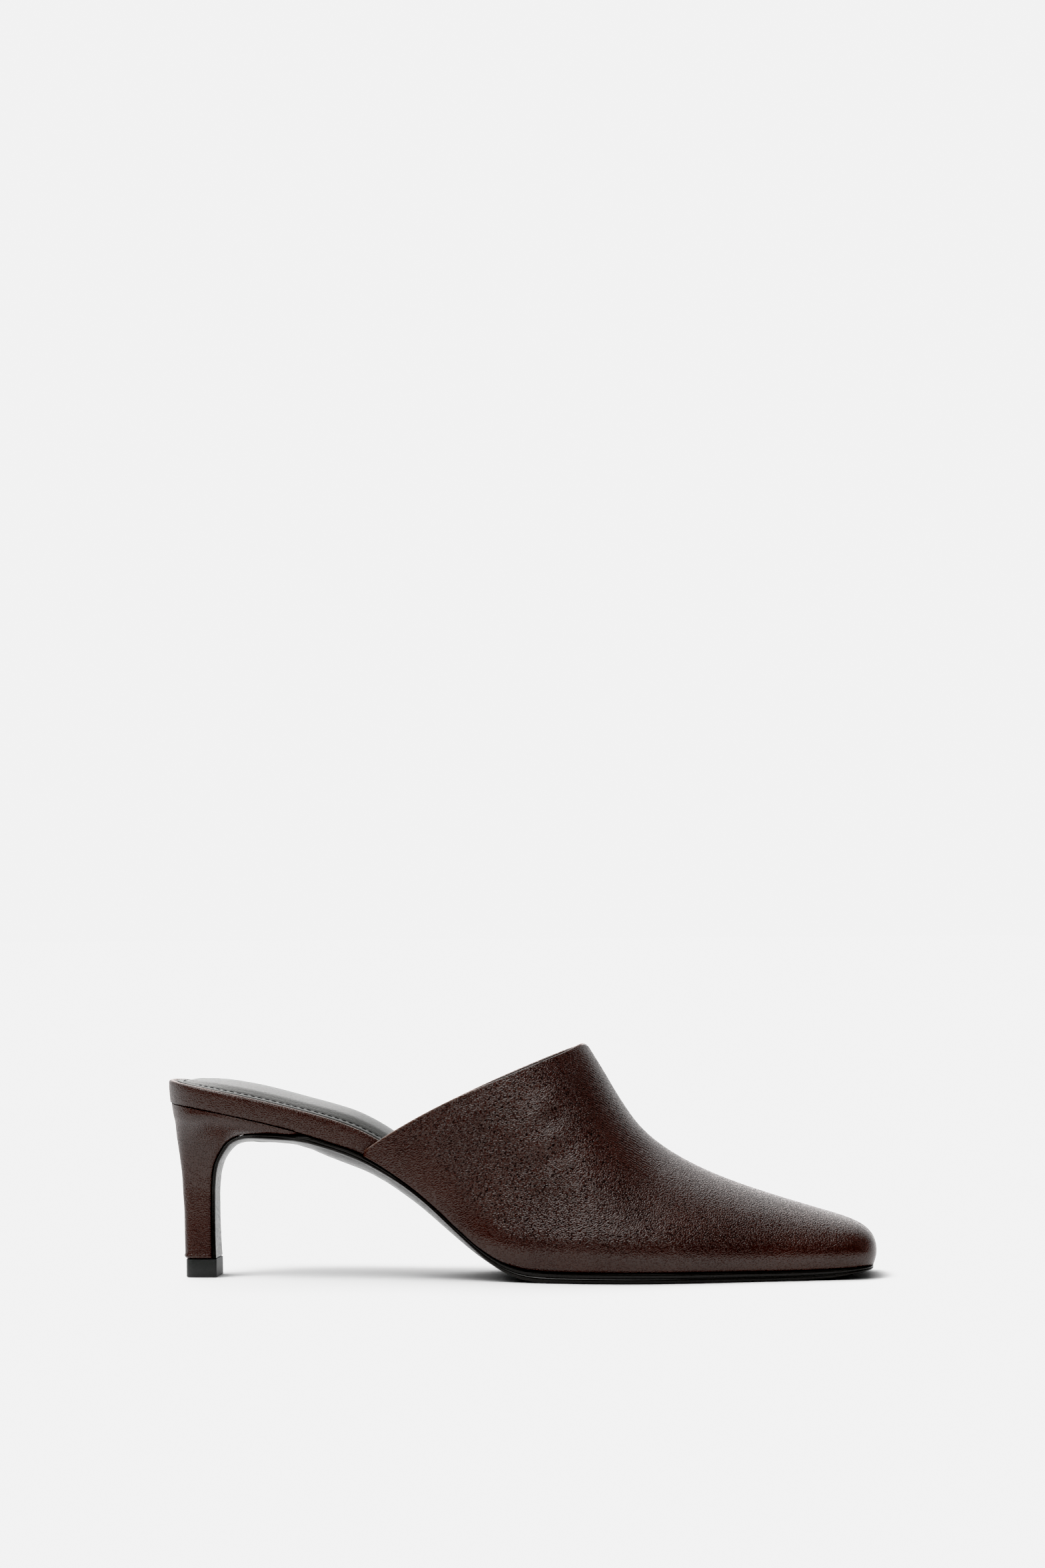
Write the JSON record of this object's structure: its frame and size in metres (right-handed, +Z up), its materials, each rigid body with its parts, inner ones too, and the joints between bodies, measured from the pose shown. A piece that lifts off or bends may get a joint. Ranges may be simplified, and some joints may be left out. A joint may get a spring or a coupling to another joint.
{
  "type": "heeled mule shoe",
  "caption": "Backless heeled mule for the right foot, with a square toe, a plain leather vamp, a padded sock, a thin glossy sole and a slim leather-covered heel.",
  "frame": {"origin": "on the floor under the middle of the shoe's bounding box", "axes": "+X from heel to toe, +Y towards the inner side of the right foot, +Z up"},
  "size_m": [0.2465, 0.0765, 0.0812],
  "materials": {
    "brown_leather": "fine-grained nappa, half gloss",
    "black_leather": "smooth, satin",
    "black_sole": "polished",
    "black_rubber": "matt"
  },
  "bodies": {
    "root": {"upper": "brown_leather", "insole_board": "brown_leather", "sock": "black_leather", "outsole": "black_sole", "heel": "brown_leather", "heel_tip": "black_rubber"}
  },
  "joints": []
}
